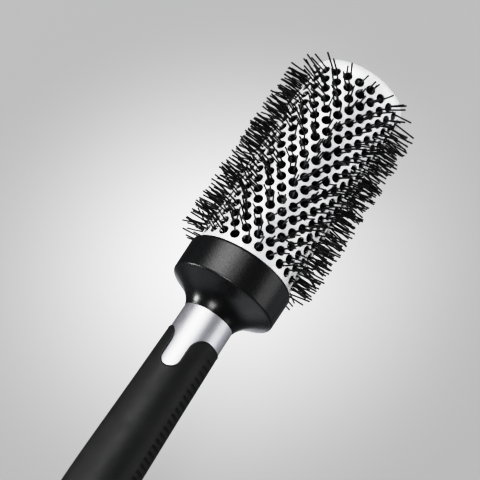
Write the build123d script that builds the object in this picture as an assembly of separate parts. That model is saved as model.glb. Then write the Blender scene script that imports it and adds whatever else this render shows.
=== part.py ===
"""Round barrel brush: a perforated thermal barrel on a two-part hub, with nylon bristles on a twisted
wire core and a rubber-covered handle. The brush lies on its side along X, with its tip towards +X.
Lengths are in millimetres. Stations are measured along the brush from its first ring of holes,
positive towards the tip, and radii from its axis."""

from build123d import *
import math
import os

# Barrel: a coated aluminium tube whose tip end is rolled in
BARREL_R = 21.75
BARREL_WALL = 0.8
BARREL_END = 94.1
LIP_R = 5.2
TIP_OPENING_R = 13.0
RING_COUNT = 20
RING_PITCH = 4.49
HOLES_PER_RING = 24
HOLE_D = 4.05

# Bristles: each tuft fans out from the wire core through one hole
BRISTLE_TIP_R = 31.7
TUFT_ROOT_R = 2.6
TUFT_SPREAD = 0.035  # a tuft's own radius over its distance from the brush's axis

# Twisted wire core
WIRE_R = 1.1
TWIST_R = 1.35
TWIST_PITCH = 12.0
WIRE_START = -48.0
WIRE_END = 89.0

# Collar and hub
COLLAR_TOP_R = 23.55
COLLAR_FOOT_R = 23.25
COLLAR_TOP = -4.15
COLLAR_TOP_ROUND = 1.7
COLLAR_FOOT_ROUND = 0.8
FLANGE_TOP = -19.9
SPIGOT_TOP = -7.0
SPIGOT_WALL = 2.0
HUB_FLARE = [(FLANGE_TOP, 22.25), (-22, 18.35), (-24, 15.3), (-26.5, 12.95), (-29.7, 11.35)]
HUB_END = -30.1
SOCKET_R = 9.5
SOCKET_TOP = -12.0
SOCKET_WALL = 2.5

# Handle core: satin silver, bare at the neck and in the grip's two windows
CORE_NECK_R = 11.2
CORE_STEP = -60.5
CORE_STEP_R = 11.35
CORE_UNDER_GRIP_R = 10.4
CORE_CAVITY_R = 8.2
CORE_CAVITY_TOP = -62.0
ANCHOR_R = 4.0
ANCHOR_LENGTH = 36.0

# Rubber grip
GRIP_TOP = -41.2
GRIP_END = -148.0
GRIP_PROFILE = [(GRIP_TOP, 11.6), (-60, 12.0), (-85, 12.6), (-113, 13.2), (-134, 12.85), (GRIP_END, 11.95)]
WINDOW_WIDTH = 8.4
WINDOW_BOTTOM = -58.4
WINDOW_TURN = -2.0  # degrees about the axis, against the holes at the top of the barrel
TONGUE_ROUND = 7.1
RIB_PITCH = 2.93
RIB_FIRST = -47.2
RIB_COUNT = 33
RIB_GROOVE_R = 0.6
RIB_ARC = 44.0  # degrees round the grip, on each side

# Ends
BUTT_END = -155.0
BUTT_ROUND = 6.0
CAP_PLUG_LENGTH = 10.0
CAP_WALL = 1.6
TIP_FLANGE_R = 15.8
TIP_BOSS_R = 4.5
TIP_BOSS_LENGTH = 5.0
VENT_COUNT = 6
VENT_D = 3.6
VENT_CIRCLE_R = 9.0

HOLE_STEP = 360 / HOLES_PER_RING
FIRST_RING_X = -(BARREL_END + BUTT_END) / 2
TO_FRAME = Pos(FIRST_RING_X, 0, BRISTLE_TIP_R)


def turned(points, rounds=None):
    """A solid of revolution about the brush's axis, from a closed outline of (station, radius) points.
    rounds gives a corner radius for the points that are not sharp, by index."""
    radii = [(rounds or {}).get(i, 0) for i in range(len(points))]
    outline = FilletPolyline(*points, radius=radii, close=True)
    return revolve(make_face(outline), Axis.X)


def hole_angles(ring):
    """Angles of one ring's holes, in degrees from straight up. Every second ring is turned half a step."""
    first = 0 if ring % 2 else HOLE_STEP / 2
    return [first + n * HOLE_STEP for n in range(HOLES_PER_RING)]


def radial(ring, angle):
    """Places something drawn along +Z from the axis at one hole of one ring."""
    return Pos(ring * RING_PITCH, 0, 0) * Rot(angle, 0, 0)


def barrel():
    inner_r = BARREL_R - BARREL_WALL
    tube = turned(
        [
            (FLANGE_TOP, BARREL_R),
            (BARREL_END, BARREL_R),
            (BARREL_END, TIP_OPENING_R),
            (BARREL_END - BARREL_WALL, TIP_OPENING_R),
            (BARREL_END - BARREL_WALL, inner_r),
            (FLANGE_TOP, inner_r),
        ],
        {1: LIP_R, 4: LIP_R - BARREL_WALL},
    )
    punch = Pos(0, 0, BARREL_R) * Cylinder(HOLE_D / 2, 6 * BARREL_WALL)
    punches = [radial(ring, a) * punch for ring in range(RING_COUNT) for a in hole_angles(ring)]
    return tube - punches


def bristle_ring(ring):
    """One ring of tufts, each an eight-sided taper that widens from the wire core to the bristle tips."""
    length = BRISTLE_TIP_R - TUFT_ROOT_R
    near, far = TUFT_SPREAD * TUFT_ROOT_R, TUFT_SPREAD * BRISTLE_TIP_R
    square = Rot(-90, 0, 0) * Wedge(2 * far, length, 2 * far, far - near, far - near, far + near, far + near)
    tuft = Pos(0, 0, TUFT_ROOT_R + length / 2) * (square & Rot(0, 0, 45) * square)
    return Compound([radial(ring, a) * tuft for a in hole_angles(ring)])


def wire_strand(turn):
    """One of the two steel wires that are twisted round each other and grip the bristles' roots."""
    path = Helix(TWIST_PITCH, WIRE_END - WIRE_START, TWIST_R)
    section = Plane(path @ 0, z_dir=path % 0) * Circle(WIRE_R)
    strand = sweep(section, path, is_frenet=True)
    return Pos(WIRE_START, 0, 0) * Rot(turn, 0, 0) * Rot(0, 90, 0) * strand


def wire_anchor():
    """Steel sleeve crimped on the wires' foot, held in the bore of the handle core."""
    top = SOCKET_TOP - 2
    return turned(
        [
            (top, TWIST_R + WIRE_R + 0.1),
            (top, ANCHOR_R),
            (top - ANCHOR_LENGTH, ANCHOR_R),
            (top - ANCHOR_LENGTH, TWIST_R + WIRE_R + 0.1),
        ]
    )


def collar():
    return turned(
        [(COLLAR_TOP, BARREL_R), (COLLAR_TOP, COLLAR_TOP_R), (FLANGE_TOP, COLLAR_FOOT_R), (FLANGE_TOP, BARREL_R)],
        {1: COLLAR_TOP_ROUND, 2: COLLAR_FOOT_ROUND},
    )


def hub():
    """Trumpet-shaped hub. Its spigot fills the barrel's foot and its socket takes the handle core."""
    spigot_r = BARREL_R - BARREL_WALL
    cavity_r = spigot_r - SPIGOT_WALL
    boss_r = SOCKET_R + SOCKET_WALL
    flare = Spline(*HUB_FLARE)
    edge_round = HUB_FLARE[-1][0] - HUB_END
    edge = TangentArc(flare @ 1, (HUB_END, HUB_FLARE[-1][1] - edge_round), tangent=flare % 1)
    inside = Polyline(
        edge @ 1,
        (HUB_END, SOCKET_R),
        (SOCKET_TOP, SOCKET_R),
        (SOCKET_TOP, boss_r),
        (FLANGE_TOP, boss_r),
        (FLANGE_TOP, cavity_r),
        (SPIGOT_TOP, cavity_r),
        (SPIGOT_TOP, spigot_r),
        (FLANGE_TOP, spigot_r),
        flare @ 0,
    )
    return revolve(make_face([flare, edge, inside]), Axis.X)


def handle_core():
    anchor_end = SOCKET_TOP - 2 - ANCHOR_LENGTH
    wire_room_r = TWIST_R + WIRE_R + 0.1
    return turned(
        [
            (SOCKET_TOP, wire_room_r),
            (SOCKET_TOP, SOCKET_R),
            (HUB_END, SOCKET_R),
            (HUB_END, CORE_NECK_R),
            (CORE_STEP, CORE_STEP_R),
            (CORE_STEP, CORE_UNDER_GRIP_R),
            (GRIP_END, CORE_UNDER_GRIP_R),
            (GRIP_END, CORE_CAVITY_R),
            (CORE_CAVITY_TOP, CORE_CAVITY_R),
            (CORE_CAVITY_TOP, ANCHOR_R),
            (anchor_end, ANCHOR_R),
            (SOCKET_TOP - 2, ANCHOR_R),
            (SOCKET_TOP - 2, wire_room_r),
        ]
    )


def grip_radius(station):
    """Outer radius of the grip at a station, read off its profile's straight chords."""
    for (x1, r1), (x2, r2) in zip(GRIP_PROFILE, GRIP_PROFILE[1:]):
        if x2 <= station <= x1:
            return r1 + (r2 - r1) * (station - x1) / (x2 - x1)
    raise ValueError(station)


def window_cutter():
    """The U-shaped window: straight sides, a round bottom, and mouth corners that flare out to the
    grip's top edge. Drawn in plan and cut right through, it makes the upper and the lower window."""
    half = WINDOW_WIDTH / 2
    bottom_centre = WINDOW_BOTTOM + half
    flare = GRIP_TOP - TONGUE_ROUND
    slot = Pos((bottom_centre + GRIP_TOP + 1) / 2, 0) * Rectangle(GRIP_TOP + 1 - bottom_centre, WINDOW_WIDTH)
    mouth = Pos((flare + GRIP_TOP + 1) / 2, 0) * Rectangle(TONGUE_ROUND + 1, 2 * (half + TONGUE_ROUND))
    for side in (-1, 1):
        mouth -= Pos(flare, side * (half + TONGUE_ROUND)) * Circle(TONGUE_ROUND)
        mouth -= Pos(flare - 1, side * (half + TONGUE_ROUND)) * Rectangle(2, 2 * TONGUE_ROUND)
    plan = slot + mouth + Pos(bottom_centre, 0) * Circle(half)
    return Rot(WINDOW_TURN, 0, 0) * extrude(plan, 2 * BARREL_R, both=True)


def rib_groove(station):
    """A shallow groove across one side of the grip, short of a full turn."""
    section = Plane.XY * Pos(station, grip_radius(station) + 0.2) * Circle(RIB_GROOVE_R)
    return Rot(-RIB_ARC / 2, 0, 0) * revolve(section, Axis.X, RIB_ARC)


def grip():
    outer = Spline(*GRIP_PROFILE)
    inner = Polyline(
        outer @ 1,
        (GRIP_END, CORE_UNDER_GRIP_R),
        (CORE_STEP, CORE_UNDER_GRIP_R),
        (CORE_STEP, CORE_STEP_R),
        (GRIP_TOP, core_radius(GRIP_TOP)),
        outer @ 0,
    )
    sleeve = revolve(make_face([outer, inner]), Axis.X)
    grooves = [rib_groove(RIB_FIRST - n * RIB_PITCH) for n in range(RIB_COUNT)]
    return sleeve - window_cutter() - grooves - [Rot(180, 0, 0) * g for g in grooves]


def core_radius(station):
    """Radius of the bare handle core, which tapers slightly towards the hub."""
    share = (station - HUB_END) / (CORE_STEP - HUB_END)
    return CORE_NECK_R + share * (CORE_STEP_R - CORE_NECK_R)


def butt_cap():
    """Domed end plug of the handle."""
    rim_r = GRIP_PROFILE[-1][1]
    return turned(
        [
            (BUTT_END, 0),
            (BUTT_END, rim_r),
            (GRIP_END, rim_r),
            (GRIP_END, CORE_CAVITY_R),
            (GRIP_END + CAP_PLUG_LENGTH, CORE_CAVITY_R),
            (GRIP_END + CAP_PLUG_LENGTH, CORE_CAVITY_R - CAP_WALL),
            (GRIP_END - CAP_WALL, CORE_CAVITY_R - CAP_WALL),
            (GRIP_END - CAP_WALL, 0),
        ],
        {1: BUTT_ROUND},
    )


def tip_cap():
    """Vented end plug behind the barrel's rolled lip. Its boss steadies the tip of the wire core."""
    wall_inside = BARREL_END - BARREL_WALL
    flange_back = wall_inside - CAP_WALL
    bore_r = TWIST_R + WIRE_R + 0.1
    plug = turned(
        [
            (BARREL_END - 0.2, 0),
            (BARREL_END - 0.2, TIP_OPENING_R),
            (wall_inside, TIP_OPENING_R),
            (wall_inside, TIP_FLANGE_R),
            (flange_back, TIP_FLANGE_R),
            (flange_back, TIP_BOSS_R),
            (flange_back - TIP_BOSS_LENGTH, TIP_BOSS_R),
            (flange_back - TIP_BOSS_LENGTH, bore_r),
            (flange_back, bore_r),
            (flange_back, 0),
        ],
        {1: 0.4},
    )
    vent = Rot(0, 90, 0) * Cylinder(VENT_D / 2, 6 * CAP_WALL)
    for n in range(VENT_COUNT):
        plug -= Rot(n * 360 / VENT_COUNT, 0, 0) * Pos(flange_back, 0, VENT_CIRCLE_R) * vent
    return plug


def sub_parts():
    """Every sub-part by name, still placed along the brush's axis."""
    parts = {
        "barrel": barrel(),
        "tip_cap": tip_cap(),
        "collar": collar(),
        "hub": hub(),
        "handle_core": handle_core(),
        "grip": grip(),
        "butt_cap": butt_cap(),
        "wire_anchor": wire_anchor(),
        "wire_strand_a": wire_strand(0),
        "wire_strand_b": wire_strand(180),
    }
    for ring in range(RING_COUNT):
        parts[f"bristle_ring_{ring + 1:02d}"] = bristle_ring(ring)
    return parts


os.makedirs("parts", exist_ok=True)
for name, shape in sub_parts().items():
    export_step(TO_FRAME * shape, f"parts/{name}.step")
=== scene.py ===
"""The looks of the round barrel brush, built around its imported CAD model. Lengths are in metres, in the
CAD frame: the brush lies along X with its tip towards +X, and +Z is up."""

import math
import random

import bmesh
import bpy
import numpy as np
from mathutils import Matrix, Vector


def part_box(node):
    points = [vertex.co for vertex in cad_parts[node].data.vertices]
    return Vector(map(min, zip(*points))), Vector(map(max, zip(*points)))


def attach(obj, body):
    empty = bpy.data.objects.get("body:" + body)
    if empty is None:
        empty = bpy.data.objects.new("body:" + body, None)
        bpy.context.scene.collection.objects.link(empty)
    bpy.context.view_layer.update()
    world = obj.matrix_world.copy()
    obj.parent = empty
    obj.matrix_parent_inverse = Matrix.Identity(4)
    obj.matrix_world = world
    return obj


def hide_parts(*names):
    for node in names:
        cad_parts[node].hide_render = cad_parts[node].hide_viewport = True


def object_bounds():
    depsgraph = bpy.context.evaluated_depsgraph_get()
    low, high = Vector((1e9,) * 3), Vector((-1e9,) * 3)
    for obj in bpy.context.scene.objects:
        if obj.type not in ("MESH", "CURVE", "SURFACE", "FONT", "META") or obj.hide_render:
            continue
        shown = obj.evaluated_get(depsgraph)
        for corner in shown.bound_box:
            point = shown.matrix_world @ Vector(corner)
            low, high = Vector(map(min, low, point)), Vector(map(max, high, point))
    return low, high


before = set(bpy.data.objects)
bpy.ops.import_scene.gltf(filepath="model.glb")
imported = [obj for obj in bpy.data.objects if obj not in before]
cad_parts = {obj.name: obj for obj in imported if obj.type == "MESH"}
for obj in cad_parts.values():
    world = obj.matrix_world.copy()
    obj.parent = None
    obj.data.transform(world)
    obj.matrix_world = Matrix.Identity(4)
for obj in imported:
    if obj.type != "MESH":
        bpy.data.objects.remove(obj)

cad_low, cad_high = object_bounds()
MM = 0.001

# The barrel and its rings of holes, as the CAD model has them
RINGS = sorted(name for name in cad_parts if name.startswith("bristle_ring_"))
HOLES = 24
HOLE_R = 2.03 * MM
WALL = 0.8 * MM
LIP_R = 5.2 * MM
RIM_R = 0.16 * MM
TIP_OPENING_R = 13.0 * MM
TIP_EDGE_CHAMFER = 0.2 * MM
CELL_ACROSS_STEPS = 8
CELL_ALONG_STEPS = 6


def middle(node):
    low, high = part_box(node)
    return (low + high) / 2


barrel_low, barrel_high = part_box("barrel")
AXIS_Z = middle("barrel").z
BARREL_R = (barrel_high.y - barrel_low.y) / 2
RING_X = [middle(ring).x for ring in RINGS]
RING_PITCH = RING_X[1] - RING_X[0]
REACH = AXIS_Z - cad_low.z

# Collar
COLLAR_FOOT_R = 23.25 * MM
COLLAR_FOOT_ROUND = 1.3 * MM
COLLAR_TOP_ROUND = 1.7 * MM
COLLAR_SIDES = 240

# Bristles
FILAMENT_R = 0.36 * MM
FILAMENT_SIDES = 6
TIP_MARGIN = 0.25 * MM  # kept free of tips, inside the CAD tufts' reach
ROOT_R = 2.7 * MM
FOOT_SPREAD = 1.4 * MM  # how far from a hole's middle a filament passes through it
FAN = 13.0  # lean for each metre of that distance
TIP_LENGTH = 0.12 * MM
TIP_TAPER = 0.9

# Grip: a rubber sleeve with an upper and a lower window
grip_low, grip_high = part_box("grip")
GRIP_TOP = grip_high.x
GRIP_END = grip_low.x
core_low, core_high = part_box("handle_core")
CORE_R = (core_high.y - core_low.y) / 2
WINDOW_HALF = 4.2 * MM
WINDOW_LENGTH = 17.2 * MM
WINDOW_TURN = math.radians(-2)
TONGUE_ROUND = 7.1 * MM
END_ROUND = 0.45 * MM
LIP_WIDTH = 0.8 * MM
LIP_HEIGHT = 0.11 * MM
SLEEVE_EDGE = 1.5 * MM  # depth of the sleeve's edge at its windows and tongues
SLEEVE_END = 1.3 * MM  # depth of its edge at the butt cap
RIB_PITCH = 2.93 * MM
RIB_COUNT = 33
RIB_START = 6.0 * MM
RIB_HALF_ARC = math.radians(22)
RIB_DEPTH = 0.6 * MM
RIB_FLOOR = 0.1 * MM  # rubber left over the handle core under a groove
RIB_WIDTH = 1.35 * MM
RIB_FADE = math.radians(2.5)
GRIP_ROWS = 460
GRIP_COLUMNS = 100

# Camera, as an aim beside the first ring of holes and a direction
VIEW_AZIMUTH = math.radians(-46.49)
VIEW_ELEVATION = math.radians(60.86)
VIEW_ROLL = math.radians(13.66)
VIEW_DISTANCE = 732.6 * MM
VIEW_LENS = 134.5
AIM_FROM_FIRST_RING = Vector((5.29, 5.99, 4.44)) * MM

# Floor: half its width, and the pool of light painted on it as a glow
FLOOR_HALF = 3.0
FLOOR_GAP = 0.2 * MM
POOL_FROM_AIM = Vector((2.5, 15.0)) * MM
POOL_R = 148 * MM
POOL_FALLOFF = 2.6
POOL_EDGE, POOL_HEART = 0.355, 1.50


# ---------------------------------------------------------------- materials


def nodes_of(material):
    tree = material.node_tree
    return tree, tree.nodes["Principled BSDF"]


def plain(name, color, roughness, metallic=0.0, **more):
    """A Principled material. more holds other socket names, with _ for a space."""
    material = bpy.data.materials.new(name)
    material.use_nodes = True
    shader = material.node_tree.nodes["Principled BSDF"]
    shader.inputs["Base Color"].default_value = (*color, 1)
    shader.inputs["Roughness"].default_value = roughness
    shader.inputs["Metallic"].default_value = metallic
    for socket, value in more.items():
        shader.inputs[socket.replace("_", " ")].default_value = value
    return material


def noise(tree, scale, detail=2.0, stretch=(1, 1, 1)):
    """Noise in the row frame. scale is in features per metre, stretch divides it by axis."""
    place = tree.nodes.new("ShaderNodeTexCoord")
    mapping = tree.nodes.new("ShaderNodeMapping")
    texture = tree.nodes.new("ShaderNodeTexNoise")
    mapping.inputs["Scale"].default_value = stretch
    texture.inputs["Scale"].default_value = scale
    texture.inputs["Detail"].default_value = detail
    tree.links.new(place.outputs["Object"], mapping.inputs["Vector"])
    tree.links.new(mapping.outputs["Vector"], texture.inputs["Vector"])
    return texture.outputs["Fac"]


def remap(tree, value, low, high, from_low=0.3, from_high=0.7):
    node = tree.nodes.new("ShaderNodeMapRange")
    ends = {"From Min": from_low, "From Max": from_high, "To Min": low, "To Max": high}
    for socket, number in ends.items():
        node.inputs[socket].default_value = number
    tree.links.new(value, node.inputs["Value"])
    return node.outputs["Result"]


def vary_roughness(material, scale, low, high, detail=3.0, stretch=(1, 1, 1)):
    tree, shader = nodes_of(material)
    tree.links.new(remap(tree, noise(tree, scale, detail, stretch), low, high), shader.inputs["Roughness"])


def vary_color(material, scale, first, second, detail=3.0):
    tree, shader = nodes_of(material)
    mix = tree.nodes.new("ShaderNodeMix")
    mix.data_type = "RGBA"
    mix.inputs["A"].default_value = (*first, 1)
    mix.inputs["B"].default_value = (*second, 1)
    tree.links.new(remap(tree, noise(tree, scale, detail), 0, 1), mix.inputs["Factor"])
    tree.links.new(mix.outputs["Result"], shader.inputs["Base Color"])


def bump(material, scale, height, strength=1.0, detail=2.0, stretch=(1, 1, 1)):
    """Surface grain: height is in metres."""
    tree, shader = nodes_of(material)
    node = tree.nodes.new("ShaderNodeBump")
    node.inputs["Strength"].default_value = strength
    node.inputs["Distance"].default_value = height
    tree.links.new(noise(tree, scale, detail, stretch), node.inputs["Height"])
    tree.links.new(node.outputs["Normal"], shader.inputs["Normal"])


def ceramic_coat():
    """White-silver ceramic coat on aluminium: fine orange peel and a slight mottle."""
    material = plain("ceramic_coat", (0.88, 0.88, 0.89), 0.38, 0.3, Coat_Weight=0.15, Coat_Roughness=0.25)
    vary_color(material, 900, (0.85, 0.85, 0.86), (0.90, 0.90, 0.905))
    vary_roughness(material, 350, 0.34, 0.42)
    bump(material, 2600, 0.010 * MM)
    return material


def satin_black():
    """Satin black moulded plastic with a fine spark-eroded grain."""
    material = plain("satin_black", (0.003, 0.003, 0.0032), 0.30, Specular_IOR_Level=0.68)
    vary_roughness(material, 1500, 0.24, 0.36)
    bump(material, 1300, 0.06 * MM, detail=3)
    return material


def gloss_black():
    """Glossier black moulded plastic: a slight unevenness in its polish."""
    material = plain("gloss_black", (0.002, 0.002, 0.0022), 0.26, Specular_IOR_Level=0.62)
    vary_roughness(material, 260, 0.22, 0.31)
    bump(material, 500, 0.006 * MM)
    return material


def satin_silver():
    """Satin silver lacquer with fine metal flake."""
    material = plain("satin_silver", (0.66, 0.66, 0.685), 0.42, 1.0)
    vary_color(material, 2500, (0.65, 0.645, 0.68), (0.71, 0.71, 0.73), 4)
    vary_roughness(material, 900, 0.39, 0.46)
    bump(material, 4200, 0.004 * MM)
    return material


def soft_rubber():
    """Black soft-touch rubber: a matt skin with a very fine grain and faint handling marks."""
    material = plain("soft_rubber", (0.006, 0.006, 0.0062), 0.5)
    vary_color(material, 120, (0.005, 0.005, 0.0052), (0.008, 0.008, 0.0082))
    vary_roughness(material, 200, 0.50, 0.60)
    bump(material, 3800, 0.014 * MM)
    return material


def black_nylon():
    """Black nylon filament: smooth, with a small change of shade along each one."""
    material = plain("black_nylon", (0.004, 0.004, 0.0043), 0.36)
    vary_color(material, 160, (0.002, 0.002, 0.0022), (0.006, 0.006, 0.0063))
    vary_roughness(material, 400, 0.32, 0.45)
    return material


def wire_steel():
    material = plain("wire_steel", (0.55, 0.55, 0.57), 0.32, 1.0)
    vary_roughness(material, 1500, 0.26, 0.42, stretch=(0.1, 1, 1))
    bump(material, 5000, 0.004 * MM)
    return material


def backdrop():
    """Pale studio floor with a painted pool of light: its emission is brightest in a wide pool near the brush
    and fades outwards, and this glow also lights the brush from below.
    """
    material = plain("studio_floor", (0.06, 0.06, 0.06), 0.7, Specular_IOR_Level=0.0)
    tree, shader = nodes_of(material)
    place = tree.nodes.new("ShaderNodeTexCoord")
    length = tree.nodes.new("ShaderNodeVectorMath")
    length.operation = "LENGTH"
    tree.links.new(place.outputs["Object"], length.inputs[0])
    nearness = remap(tree, length.outputs["Value"], 1, 0, 0.0, POOL_R)
    pool = tree.nodes.new("ShaderNodeMath")
    pool.operation = "POWER"
    pool.inputs[1].default_value = POOL_FALLOFF
    tree.links.new(nearness, pool.inputs[0])
    # painted light: the floor's own glow, strongest in the pool's heart, not a lamp
    glow = remap(tree, pool.outputs["Value"], POOL_EDGE, POOL_HEART, 0.0, 1.0)
    shader.inputs["Emission Color"].default_value = (1, 1, 1, 1)
    tree.links.new(glow, shader.inputs["Emission Strength"])
    return material


# ---------------------------------------------------------------- meshes


def add_mesh(name, vertices, faces, material, sharp=None, weld=None):
    """A mesh object. sharp is the angle, in degrees, beyond which an edge isn't shaded smooth. weld is how
    near to each other vertices are joined."""
    mesh = bpy.data.meshes.new(name)
    mesh.from_pydata([tuple(v) for v in vertices], [], [tuple(int(i) for i in f) for f in faces])
    if weld:
        work = bmesh.new()
        work.from_mesh(mesh)
        bmesh.ops.remove_doubles(work, verts=work.verts, dist=weld)
        bmesh.ops.recalc_face_normals(work, faces=work.faces)
        work.to_mesh(mesh)
        work.free()
    mesh.polygons.foreach_set("use_smooth", [True] * len(mesh.polygons))
    if sharp is not None:
        mesh.set_sharp_from_angle(angle=math.radians(sharp))
    mesh.materials.append(material)
    piece = bpy.data.objects.new(name, mesh)
    bpy.context.scene.collection.objects.link(piece)
    return piece


def on_axis(x, radius, angle):
    """Points at a station and radius. angle is from straight up, towards -Y, in radians."""
    x, radius, angle = np.broadcast_arrays(x, radius, angle)
    return np.stack([x, -radius * np.sin(angle), AXIS_Z + radius * np.cos(angle)], axis=-1)


class Builder:
    """Collects vertices and faces for one mesh."""

    def __init__(self):
        self.vertices, self.faces, self.count = [], [], 0

    def add(self, points):
        points = np.asarray(points, float).reshape(-1, 3)
        self.vertices.append(points)
        self.count += len(points)
        return np.arange(self.count - len(points), self.count)

    def bridge(self, first, second, closed=True):
        """Quads between two rows of vertices of the same length."""
        steps = len(first) if closed else len(first) - 1
        for i in range(steps):
            j = (i + 1) % len(first)
            self.faces.append((first[i], first[j], second[j], second[i]))

    def points(self):
        return np.concatenate(self.vertices)


def arc(start, stop, steps):
    return [start + (stop - start) * i / steps for i in range(steps + 1)]


def full_turn(steps):
    """Evenly spaced angles once round the axis."""
    return np.arange(steps) * math.tau / steps


def hole_angle(ring, hole):
    """Angle of a hole from straight up. Every second ring, from the first, is turned half a step."""
    step = 2 * math.pi / HOLES
    return hole * step + (0 if ring % 2 else step / 2)


def cell_edge(across, along):
    """Points round a cell of the barrel's skin, from its middle: across is half its width as an angle,
    along is half its length. Corners and the middles of the long sides are points, so that staggered
    rows join."""
    sideways = [1 - 2 * i / CELL_ACROSS_STEPS for i in range(CELL_ACROSS_STEPS)]
    lengthways = [1 - 2 * i / CELL_ALONG_STEPS for i in range(CELL_ALONG_STEPS)]
    top = [(across * share, along) for share in sideways]
    left = [(-across, along * share) for share in lengthways]
    bottom = [(-across * share, -along) for share in sideways]
    right = [(across, -along * share) for share in lengthways]
    return top + left + bottom + right


def barrel():
    """The perforated tube: one square cell for each hole, with the hole's edge rounded over, then a plain
    foot and the rolled lip."""
    build = Builder()
    across, along = math.pi / HOLES, RING_PITCH / 2
    edge = cell_edge(across, along)
    turn = [math.atan2(x, a * BARREL_R) for a, x in edge]
    inner = BARREL_R - WALL
    loops = [(HOLE_R + RIM_R * (1 - math.sin(t)), BARREL_R - RIM_R * (1 - math.cos(t)))
             for t in arc(0, math.pi / 2, 3)]
    loops.append((HOLE_R, inner + RIM_R / 2))
    loops.append((HOLE_R + RIM_R / 2, inner))
    for ring, centre in enumerate(RING_X):
        for hole in range(HOLES):
            angle = hole_angle(ring, hole)
            rows = [build.add([on_axis(centre + x, BARREL_R, angle + a) for a, x in edge])]
            for radius, height in loops:
                sideways = np.array([math.asin(radius * math.cos(t) / height) for t in turn])
                lengthways = np.array([radius * math.sin(t) for t in turn])
                rows.append(build.add(on_axis(centre + lengthways, height, angle + sideways)))
            rows.append(build.add([on_axis(centre + x, inner, angle + a) for a, x in edge]))
            for first, second in zip(rows, rows[1:]):
                build.bridge(first, second)
    angles = full_turn(HOLES * CELL_ACROSS_STEPS)
    first, last = RING_X[0] - along, RING_X[-1] + along
    foot = [(first, BARREL_R), (barrel_low.x, BARREL_R), (barrel_low.x, inner), (first, inner)]
    lip_x, tip = barrel_high.x - LIP_R, barrel_high.x
    lip = [(last, BARREL_R)]
    lip += [(lip_x + LIP_R * math.sin(t), BARREL_R - LIP_R + LIP_R * math.cos(t))
            for t in arc(0, math.pi / 2, 14)]
    lip += [(tip, TIP_OPENING_R + TIP_EDGE_CHAMFER), (tip - TIP_EDGE_CHAMFER, TIP_OPENING_R),
            (tip - WALL, TIP_OPENING_R)]
    small = LIP_R - WALL
    lip += [(lip_x + small * math.sin(t), inner - small + small * math.cos(t))
            for t in arc(math.pi / 2, 0, 8)]
    lip += [(last, inner)]
    for outline in (foot, lip):
        rows = [build.add(on_axis(x, r, angles)) for x, r in outline]
        for one, other in zip(rows, rows[1:]):
            build.bridge(one, other)
    piece = add_mesh("barrel_shell", build.points(), build.faces, ceramic_coat(), sharp=50, weld=0.002 * MM)
    weighted = piece.modifiers.new("weighted", "WEIGHTED_NORMAL")
    weighted.keep_sharp = True
    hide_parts("barrel")
    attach(piece, "root")


def collar():
    """The ring round the barrel's foot: slightly tapered, with both outer edges rounded."""
    low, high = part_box("collar")
    top_r = (high.y - low.y) / 2
    taper = math.atan((top_r - COLLAR_FOOT_R) / (high.x - low.x))
    outline = [(low.x, BARREL_R)]
    for end, way, size, start, stop in (
        (low.x, 1, COLLAR_FOOT_ROUND, -math.pi / 2, -taper),
        (high.x, -1, COLLAR_TOP_ROUND, -taper, math.pi / 2),
    ):
        x = end + way * size
        radius = COLLAR_FOOT_R + (x - low.x) * math.tan(taper) - size / math.cos(taper)
        outline += [(x + size * math.sin(t), radius + size * math.cos(t)) for t in arc(start, stop, 12)]
    outline += [(high.x, BARREL_R), (low.x, BARREL_R)]
    build = Builder()
    angles = full_turn(COLLAR_SIDES)
    rows = [build.add(on_axis(x, radius, angles)) for x, radius in outline]
    for one, other in zip(rows, rows[1:]):
        build.bridge(one, other)
    piece = add_mesh("collar_ring", build.points(), build.faces, satin_black(), sharp=50, weld=0.002 * MM)
    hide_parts("collar")
    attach(piece, "root")


def grip_radius(x):
    """Outer radius of the rubber sleeve at a station: a curve through a few measured radii."""
    down = [0, 18.8, 43.8, 71.8, 92.8, 106.8]
    radius = [11.6, 12.0, 12.6, 13.2, 12.85, 11.95]
    return np.polyval(np.polyfit(down, radius, 5), (GRIP_TOP - x) / MM) * MM


def rib_cut(x, angle):
    """Depth of the finger grooves down both sides of the grip."""
    turn = (x - GRIP_TOP + RIB_START) / RIB_PITCH
    from_groove = np.abs(turn - np.round(turn)) * RIB_PITCH
    inside = (turn < 0.5) & (turn > 0.5 - RIB_COUNT)
    across = np.clip(1 - (from_groove / (RIB_WIDTH / 2)) ** 2, 0, 1)
    off_middle = np.abs(np.abs(angle) - math.pi / 2)
    ends = np.clip((RIB_HALF_ARC - off_middle) / RIB_FADE, 0, 1)
    depth = min(RIB_DEPTH, grip_radius(x) - CORE_R - RIB_FLOOR)
    return depth * across * np.sqrt(ends) * inside


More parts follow.
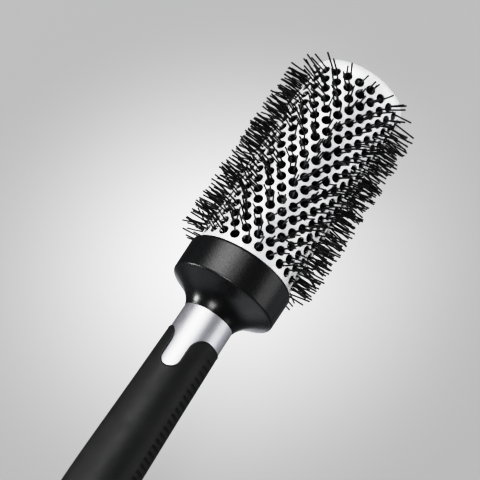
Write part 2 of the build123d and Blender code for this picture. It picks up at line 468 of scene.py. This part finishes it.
def grip():
    """The rubber sleeve. Both windows have the same outline, and the skin between them is a grid whose
    rows end on it, so the rubber has a true rounded edge."""
    build = Builder()
    half = WINDOW_HALF + LIP_WIDTH
    bottom, top = GRIP_TOP - WINDOW_LENGTH + WINDOW_HALF, GRIP_TOP - TONGUE_ROUND
    corner = TONGUE_ROUND - LIP_WIDTH
    outline = [(bottom - half * math.cos(t), half * math.sin(t), math.cos(t), -math.sin(t))
               for t in arc(0, math.pi / 2, 40)]
    outline += [(x, half, 0, -1) for x in arc(bottom, top, 44)[1:-1]]
    outline += [(top + corner * math.sin(t), half + corner * (1 - math.cos(t)), math.sin(t), -math.cos(t))
                for t in arc(0, math.pi / 2, 50)]
    lower = arc(GRIP_END + END_ROUND, bottom - half, GRIP_ROWS)[:-1]
    for side in (1, -1):
        rows = []
        for x, s in [(x, 0.0) for x in lower] + [(x, s) for x, s, *_ in outline]:
            radius = grip_radius(x)
            start = s / radius
            angle = np.array(arc(start, math.pi - start, GRIP_COLUMNS))
            skin = radius - rib_cut(x, angle)
            rows.append(build.add(on_axis(x, skin, WINDOW_TURN + side * angle)))
        for one, other in zip(rows, rows[1:]):
            build.bridge(one, other, closed=False)
        # Round the skin's end, from one window over the tongue to the other: nx and ns point off the skin,
        # and way is -1 where the angle is taken from the far window.
        edge = [(x, s, nx, ns, 1) for x, s, nx, ns in outline]
        x_top, s_top = outline[-1][:2]
        start, stop = s_top / grip_radius(x_top), math.pi - s_top / grip_radius(x_top)
        angles = arc(start, stop, GRIP_COLUMNS)[1:-1]
        edge += [(x_top, a * grip_radius(x_top), 1, 0, 1) for a in angles]
        edge += [(x, s, nx, ns, -1) for x, s, nx, ns in reversed(outline)]
        crest = LIP_WIDTH / 2
        rim = [(crest * u, -LIP_HEIGHT * math.sin(math.pi * u)) for u in arc(0, 1, 6)]
        rim += [(crest * (1 + math.sin(t)), crest * (1 - math.cos(t))) for t in arc(0, math.pi / 2, 4)[1:]]
        rim.append((LIP_WIDTH, SLEEVE_EDGE))
        loops = []
        for out, drop in rim:
            points = []
            for x, s, nx, ns, way in edge:
                radius = grip_radius(x)
                angle = (s + ns * out) / radius
                angle = angle if way == 1 else math.pi - angle
                points.append(on_axis(x + nx * out, radius - drop, WINDOW_TURN + side * angle))
            loops.append(build.add(points))
        for one, other in zip(loops, loops[1:]):
            build.bridge(one, other, closed=False)
    end = [(GRIP_END + END_ROUND * (1 - math.sin(t)), END_ROUND * (1 - math.cos(t)))
           for t in arc(0, math.pi / 2, 4)]
    end.append((GRIP_END, SLEEVE_END))
    angles = np.array(arc(0, math.pi, GRIP_COLUMNS)[:-1] + [-a for a in arc(math.pi, 0, GRIP_COLUMNS)[:-1]])
    loops = [build.add(on_axis(x, grip_radius(x) - drop, WINDOW_TURN + angles)) for x, drop in end]
    for one, other in zip(loops, loops[1:]):
        build.bridge(one, other)
    piece = add_mesh("grip_sleeve", build.points(), build.faces, soft_rubber(), sharp=50, weld=0.003 * MM)
    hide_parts("grip")
    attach(piece, "root")


def filament(build, centre, angle, foot, lean, bend, reach):
    """One bristle: from its root at the wire core, straight through the hole at foot, then on with its
    own lean and bend to its cut tip. foot, lean and bend are (lengthways, sideways) pairs."""
    inside = [ROOT_R, 0.55 * BARREL_R, BARREL_R - WALL]
    outside = arc(BARREL_R, reach, 4)
    spine = []
    for height in inside + outside:
        rise = max(0.0, height - BARREL_R)
        share = min(1.0, height / BARREL_R)
        x = foot[0] * share + lean[0] * rise + bend[0] * rise * rise
        y = foot[1] * share + lean[1] * rise + bend[1] * rise * rise
        spine.append((x, y, height))
    spine = np.array(spine)
    ring = full_turn(FILAMENT_SIDES)
    rows = []
    sizes = [FILAMENT_R] * len(spine) + [FILAMENT_R * TIP_TAPER]
    spine = np.vstack([spine, spine[-1] + np.array([0.0, 0.0, TIP_LENGTH])])
    for (x, y, height), size in zip(spine, sizes):
        px = x + size * np.cos(ring)
        py = y + size * np.sin(ring)
        points = np.stack([centre + px, -py * math.cos(angle) - height * math.sin(angle),
                           AXIS_Z + height * math.cos(angle) - py * math.sin(angle)], axis=-1)
        rows.append(build.add(points))
    for one, other in zip(rows, rows[1:]):
        build.bridge(one, other)
    build.faces.append(tuple(rows[0][::-1]))
    build.faces.append(tuple(rows[-1]))


def bristles(ring, material):
    """All the filaments of one ring of holes. Those of a hole swing to one side together, fan out a little
    and stray on their own. The last ring is thinner."""
    draw = random.Random(900 + ring)
    build = Builder()
    last = ring == len(RINGS) - 1
    for hole in range(HOLES):
        angle = hole_angle(ring, hole)
        count = draw.choice((1, 1, 2, 3) if last else (1, 2, 2, 2, 3, 3))
        swing = (draw.gauss(0, 0.11), draw.gauss(0, 0.08))
        start = draw.uniform(0, math.tau)
        for i in range(count):
            turn = start + math.tau * i / count + draw.uniform(-0.5, 0.5)
            out = draw.uniform(0.35, 1.0) * FOOT_SPREAD
            foot = (out * math.cos(turn), out * math.sin(turn))
            stray = 0.22 if draw.random() < 0.12 else 0.05
            lean = [swing[k] + FAN * foot[k] + draw.gauss(0, stray) for k in (0, 1)]
            bend = [draw.gauss(0, 2.0), draw.gauss(0, 2.0)]
            short = draw.random() < 0.15
            cut = draw.uniform(1.5, 3.5) if short else draw.uniform(0.0, 1.5)
            reach = REACH - 0.2 * MM - cut * MM
            rise = reach - BARREL_R
            sideways = foot[1] + lean[1] * rise + bend[1] * rise * rise
            reach = min(reach, math.sqrt((REACH - TIP_MARGIN) ** 2 - sideways**2))
            filament(build, RING_X[ring], angle, foot, lean, bend, reach)
    piece = add_mesh(f"bristles_{ring + 1:02d}", build.points(), build.faces, material, sharp=60)
    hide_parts(RINGS[ring])
    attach(piece, "root")


def dress(name, material):
    """Gives a CAD node that stays its material."""
    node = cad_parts[name]
    node.data.materials.clear()
    node.data.materials.append(material)


# ---------------------------------------------------------------- light and camera


def floor():
    mesh = bpy.data.meshes.new("floor")
    corners = [(x * FLOOR_HALF, y * FLOOR_HALF, 0) for x, y in ((-1, -1), (1, -1), (1, 1), (-1, 1))]
    mesh.from_pydata(corners, [], [(0, 1, 2, 3)])
    mesh.materials.append(backdrop())
    piece = bpy.data.objects.new("floor", mesh)
    bpy.context.scene.collection.objects.link(piece)
    aim = Vector((RING_X[0], 0, AXIS_Z)) + AIM_FROM_FIRST_RING
    piece.location = (aim.x + POOL_FROM_AIM.x, aim.y + POOL_FROM_AIM.y, cad_low.z - FLOOR_GAP)
    piece.visible_glossy = False


def panel(name, direction, distance, width, height, power, mirrored=True):
    """A soft box that looks at the middle of the brush from a direction. One that isn't mirrored is fill
    light without highlights."""
    light = bpy.data.lights.new(name, "AREA")
    light.shape = "RECTANGLE"
    light.size, light.size_y = width, height
    light.energy = power
    lamp = bpy.data.objects.new(name, light)
    direction = Vector(direction).normalized()
    lamp.location = Vector((0, 0, AXIS_Z)) + distance * direction
    lamp.rotation_mode = "QUATERNION"
    lamp.rotation_quaternion = (-direction).to_track_quat("-Z", "Y")
    lamp.visible_camera = False
    lamp.visible_glossy = mirrored
    bpy.context.scene.collection.objects.link(lamp)


def sky():
    """A dim grey room: two soft glows on the handle's side, one below and one low down on the camera's
    right, and a dark card low down on its left. Each row is a direction, the light away from it, the light
    in its heart, and how wide its heart and all of it are, in degrees from the direction."""
    world = bpy.data.worlds.new("studio")
    world.use_nodes = True
    tree = world.node_tree
    background = tree.nodes["Background"]
    background.inputs["Color"].default_value = (0.93, 0.95, 1.0, 1)
    place = tree.nodes.new("ShaderNodeTexCoord")
    strength = None
    for direction, room, glow, inner, outer in (
        ((-0.85, -0.18, -0.49), 0.2, 1.1, 3, 34),
        ((-0.83, 0.49, -0.26), 0.0, 0.55, 3, 34),
        ((-0.02, 0.3, -0.95), 0.0, 0.85, 12, 20),
        ((0.353, -0.737, -0.576), 0.0, 0.26, 6, 24),
        ((0.353, 0.73, -0.58), 0.0, -0.11, 14, 36),
    ):
        toward = tree.nodes.new("ShaderNodeVectorMath")
        toward.operation = "DOT_PRODUCT"
        toward.inputs[1].default_value = Vector(direction).normalized()
        tree.links.new(place.outputs["Generated"], toward.inputs[0])
        edge, heart = math.cos(math.radians(outer)), math.cos(math.radians(inner))
        level = remap(tree, toward.outputs["Value"], room, glow, edge, heart)
        level.node.interpolation_type = "SMOOTHSTEP"
        if strength is None:
            strength = level
        else:
            both = tree.nodes.new("ShaderNodeMath")
            tree.links.new(strength, both.inputs[0])
            tree.links.new(level, both.inputs[1])
            strength = both.outputs["Value"]
    tree.links.new(strength, background.inputs["Strength"])
    bpy.context.scene.world = world


def lights():
    panel("key", (0.353, 0.25, 0.90), 0.9, 1.0, 1.0, 4.6)
    panel("key_heart", (0.353, 0.305, 0.885), 0.88, 0.5, 0.5, 1.9)
    panel("side", (0.353, -0.935, 0.0), 0.8, 1.3, 0.46, 2.4)
    panel("fill_left", (0.2, 0.9, 0.1), 0.9, 1.2, 1.2, 9.0, mirrored=False)
    panel("fill_right", (0.2, -0.9, 0.1), 0.9, 1.2, 1.2, 5.2, mirrored=False)
    panel("fill_tip", (0.75, -0.64, 0.15), 0.38, 0.2, 0.2, 0.35, mirrored=False)
    panel("spark", (-0.327, 0.898, 0.293), 0.7, 0.22, 0.22, 2.1)
    panel("spark_top", (-0.552, -0.02, 0.833), 0.7, 0.26, 0.28, 1.7)


def tone():
    """A photographic curve: deep blacks and a soft shoulder. Points are scene light against display light."""
    view = bpy.context.scene.view_settings
    view.view_transform = "Standard"
    view.use_curve_mapping = True
    mapping = view.curve_mapping
    brightest = 3.0
    mapping.white_level = (brightest, brightest, brightest)
    combined = mapping.curves[3]
    for light, shown in ((0.02, 0.007), (0.06, 0.036), (0.13, 0.11), (0.25, 0.25), (0.8, 0.79), (1.3, 0.92)):
        combined.points.new(light / brightest, shown)
    combined.points[len(combined.points) - 1].location = (1.0, 0.98)
    mapping.update()


def camera():
    back = Vector(
        (
            math.sin(VIEW_AZIMUTH) * math.cos(VIEW_ELEVATION),
            -math.cos(VIEW_AZIMUTH) * math.cos(VIEW_ELEVATION),
            math.sin(VIEW_ELEVATION),
        )
    )
    level_right = Vector((0, 0, 1)).cross(back).normalized()
    level_up = back.cross(level_right)
    right = math.cos(VIEW_ROLL) * level_right - math.sin(VIEW_ROLL) * level_up
    up = back.cross(right)
    lens = bpy.data.cameras.new("camera")
    lens.lens = VIEW_LENS
    lens.clip_start = 0.01
    eye = bpy.data.objects.new("camera", lens)
    aim = Vector((RING_X[0], 0, AXIS_Z)) + AIM_FROM_FIRST_RING
    eye.matrix_world = Matrix((right, up, back)).transposed().to_4x4()
    eye.location = aim + back * VIEW_DISTANCE
    bpy.context.scene.collection.objects.link(eye)
    bpy.context.scene.camera = eye


camera()
sky()
lights()
floor()
barrel()
collar()
grip()
nylon = black_nylon()
for ring in range(len(RINGS)):
    bristles(ring, nylon)
black, steel = satin_black(), wire_steel()
for name in ("tip_cap", "butt_cap"):
    dress(name, black)
for name in ("wire_anchor", "wire_strand_a", "wire_strand_b"):
    dress(name, steel)
dress("hub", gloss_black())
dress("handle_core", satin_silver())

tone()
